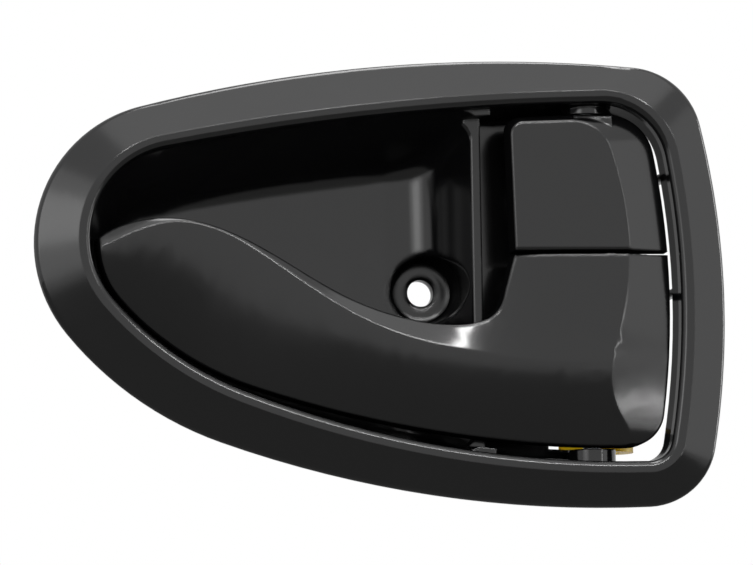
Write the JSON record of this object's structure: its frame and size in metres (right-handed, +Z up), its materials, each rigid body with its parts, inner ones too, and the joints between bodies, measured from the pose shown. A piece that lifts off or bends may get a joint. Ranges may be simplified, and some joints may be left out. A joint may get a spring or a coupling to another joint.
{
  "type": "car interior door handle",
  "caption": "Car interior door handle: teardrop flange and finger cup, long pull lever and small lock lever on one pin, rod clips behind.",
  "frame": {"origin": "centre of the flange outline on its back face, the plane that lies on the door trim", "axes": "+X to the hinged end of the levers, +Y into the door, +Z up as fitted"},
  "size_m": [0.16, 0.038, 0.1032],
  "materials": {
    "housing_plastic": "semi-gloss",
    "lever_plastic": "semi-gloss",
    "steel": "ground",
    "spring_steel": "drawn",
    "clip_yellow": "satin",
    "rubber": "matte"
  },
  "bodies": {
    "housing": {"housing": "housing_plastic", "hinge_pin": "steel", "pin_retaining_ring": "spring_steel", "pull_return_spring": "spring_steel", "lock_detent_spring": "spring_steel", "pull_stop_buffer": "rubber", "lock_stop_buffer": "rubber"},
    "pull_lever": {"pull_lever": "lever_plastic"},
    "lock_lever": {"lock_lever": "lever_plastic"},
    "release_rod_clip": {"release_rod_clip": "clip_yellow"},
    "lock_rod_clip": {"lock_rod_clip": "clip_yellow"}
  },
  "joints": [
    {"name": "pull_lever_hinge", "type": "hinge", "parent": "housing", "child": "pull_lever", "pos_m": [0.0495, 0.006, 0], "axis": [0, 0, 1], "range_deg": [0, 35], "stiffness_Nm_per_rad": 0.12, "springref_deg": -28.65, "deforming": ["pull_return_spring"]},
    {"name": "lock_lever_hinge", "type": "hinge", "parent": "housing", "child": "lock_lever", "pos_m": [0.0495, 0.006, 0], "axis": [0, 0, 1], "range_deg": [-20, 0], "deforming": ["lock_detent_spring"]},
    {"name": "release_clip_swivel", "type": "hinge", "parent": "pull_lever", "child": "release_rod_clip", "pos_m": [0.0575, 0.024, -0.033], "axis": [0, 0, 1], "range_deg": [-38, 15]},
    {"name": "lock_clip_swivel", "type": "hinge", "parent": "lock_lever", "child": "lock_rod_clip", "pos_m": [0.0465, 0.024, 0.035], "axis": [0, 0, 1], "range_deg": [-15, 25]}
  ]
}
